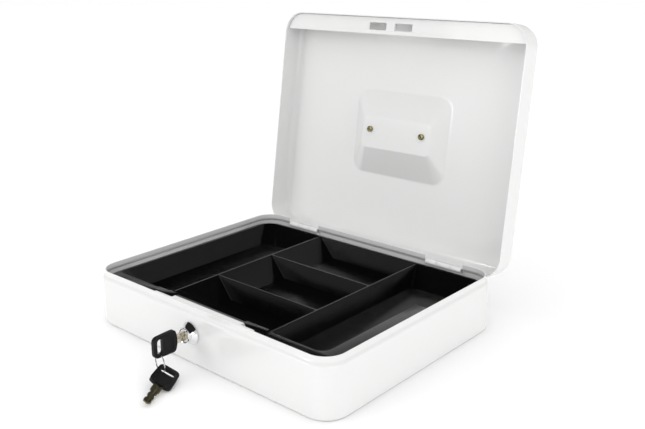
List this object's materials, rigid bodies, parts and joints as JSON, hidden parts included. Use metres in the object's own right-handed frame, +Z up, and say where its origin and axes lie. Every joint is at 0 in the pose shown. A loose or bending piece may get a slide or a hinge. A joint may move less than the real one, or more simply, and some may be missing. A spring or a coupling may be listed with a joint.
{
  "type": "cash box",
  "caption": "Portable steel cash box with a hinged lid, a lift-out coin tray, a hook-cam lock with a key, a spare key on a ring and a folding carry handle.",
  "frame": {"origin": "centre of the underside of the body, on the surface it stands on", "axes": "+X to the right along the width seen from the front, +Y from the front wall to the hinges, +Z up"},
  "size_m": [0.3, 0.3733, 0.2793],
  "materials": {
    "white_paint": "semi-gloss white powder coat",
    "black_tray": "satin black moulded plastic",
    "chrome_plate": "bright chrome plate",
    "plug_metal": "satin nickel plate",
    "plain_steel": "zinc plated steel",
    "key_metal": "nickel silver, satin",
    "aged_key_metal": "dull olive brass",
    "black_grip": "fine-textured black plastic",
    "ring_wire": "bright spring steel",
    "brass": "stamped brass",
    "brassed_screw": "dull brassed steel"
  },
  "bodies": {
    "box": {"body_shell": "white_paint", "lock_cover": "white_paint", "tray_ledge_left": "white_paint", "tray_ledge_right": "white_paint", "lock_barrel": "chrome_plate", "lock_nut": "plain_steel", "hinge_body_leaf_left": "white_paint", "hinge_body_leaf_right": "white_paint", "hinge_pin_left": "plain_steel", "hinge_pin_right": "plain_steel"},
    "lid": {"lid_shell": "white_paint", "strike_flange": "white_paint", "hinge_lid_leaf_left": "white_paint", "hinge_lid_leaf_right": "white_paint", "handle_post_left": "plain_steel", "handle_post_right": "plain_steel", "handle_screw_left": "brassed_screw", "handle_screw_right": "brassed_screw"},
    "handle": {"carry_handle": "chrome_plate"},
    "tray": {"coin_tray": "black_tray"},
    "plug": {"lock_plug": "plug_metal", "lock_cam": "plain_steel", "cam_washer": "plain_steel", "cam_screw": "plain_steel", "wafer_1": "brass", "wafer_2": "brass", "wafer_3": "brass", "wafer_4": "brass"},
    "key": {"key_head": "black_grip", "key_blade": "key_metal"},
    "ring": {"key_ring": "ring_wire"},
    "spare_key": {"spare_key_head": "black_grip", "spare_key_blade": "aged_key_metal"}
  },
  "joints": [
    {"name": "lid_hinge", "type": "hinge", "parent": "box", "child": "lid", "pos_m": [0, 0.11695, 0.0456], "axis": [-1, 0, 0], "range_deg": [-98.64, 0]},
    {"name": "handle_fold", "type": "hinge", "parent": "lid", "child": "handle", "pos_m": [0.0036, 0.16092, 0.15923], "axis": [1, 0, 0], "range_deg": [-8.64, 80]},
    {"name": "tray_lift", "type": "slide", "parent": "box", "child": "tray", "axis": [0, 0, 1], "range_m": [0, 0.06]},
    {"name": "plug_turn", "type": "hinge", "parent": "box", "child": "plug", "pos_m": [-0.0065, -0.12, 0.029], "axis": [0, -1, 0], "range_deg": [0, 90]},
    {"name": "key_slide", "type": "slide", "parent": "plug", "child": "key", "axis": [0, -1, 0], "range_m": [0, 0.03]},
    {"name": "ring_swing", "type": "hinge", "parent": "key", "child": "ring", "pos_m": [-0.0065, -0.1542, 0.02315], "axis": [-1, 0, 0], "range_deg": [0, 45]},
    {"name": "spare_key_swing", "type": "hinge", "parent": "ring", "child": "spare_key", "pos_m": [0.0005, -0.15585, 0.00905], "axis": [-0.5727, 0.1322, -0.809], "range_deg": [0, 25]}
  ]
}
